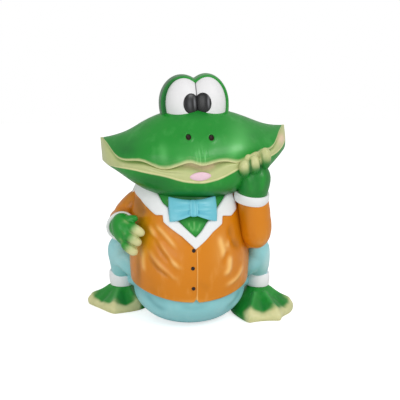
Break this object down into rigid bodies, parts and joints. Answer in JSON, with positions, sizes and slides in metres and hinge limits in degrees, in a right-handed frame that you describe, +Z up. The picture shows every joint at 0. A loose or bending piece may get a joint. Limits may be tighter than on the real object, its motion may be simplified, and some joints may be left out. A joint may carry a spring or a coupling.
{
  "type": "frog figurine",
  "caption": "Seated comic frog ornament in an orange jacket and bow tie, wide head resting on one raised hand, the other hand on its hip.",
  "frame": {"origin": "centre of the closing plate's underside, on the plane that the seat and both feet stand on", "axes": "+Z up through the eyes; -Y the way the frog faces; +X towards the raised arm"},
  "size_m": [0.3238, 0.1825, 0.3667],
  "materials": {
    "green_skin": "satin airbrushed paint on cast resin",
    "orange_cloth": "satin airbrushed paint on cast resin",
    "white_trim": "satin paint on cast resin",
    "blue_trousers": "satin airbrushed paint on cast resin",
    "blue_bow": "satin paint on cast resin",
    "cream_mouth": "satin airbrushed paint on cast resin",
    "pink_tongue": "satin paint on cast resin",
    "eye_white": "gloss paint on cast resin",
    "gloss_black": "gloss paint on cast resin",
    "plain_resin": "unpainted resin",
    "dowel_steel": "plain drawn steel"
  },
  "bodies": {
    "root": {"upper_head": "green_skin", "lower_jaw": "green_skin", "eye_hood": "green_skin", "left_hand": "green_skin", "right_hand": "green_skin", "left_foot": "green_skin", "right_foot": "green_skin", "chest_and_neck": "green_skin", "jacket_shell": "orange_cloth", "left_sleeve": "orange_cloth", "right_sleeve": "orange_cloth", "lapel_left": "white_trim", "lapel_right": "white_trim", "collar_stand": "white_trim", "left_cuff": "white_trim", "right_cuff": "white_trim", "left_trouser_cuff": "white_trim", "right_trouser_cuff": "white_trim", "seat_shell": "blue_trousers", "left_trouser_leg": "blue_trousers", "right_trouser_leg": "blue_trousers", "bow_tie_knot": "blue_bow", "bow_tie_wing_left": "blue_bow", "bow_tie_wing_right": "blue_bow", "mouth_lining": "cream_mouth", "tongue": "pink_tongue", "left_eyeball": "eye_white", "right_eyeball": "eye_white", "left_pupil": "gloss_black", "right_pupil": "gloss_black", "jacket_buttons": "gloss_black", "base_plate": "plain_resin", "shoulder_pins": "dowel_steel", "hip_pins": "dowel_steel", "wrist_pins": "dowel_steel", "ankle_pins": "dowel_steel"}
  },
  "joints": []
}
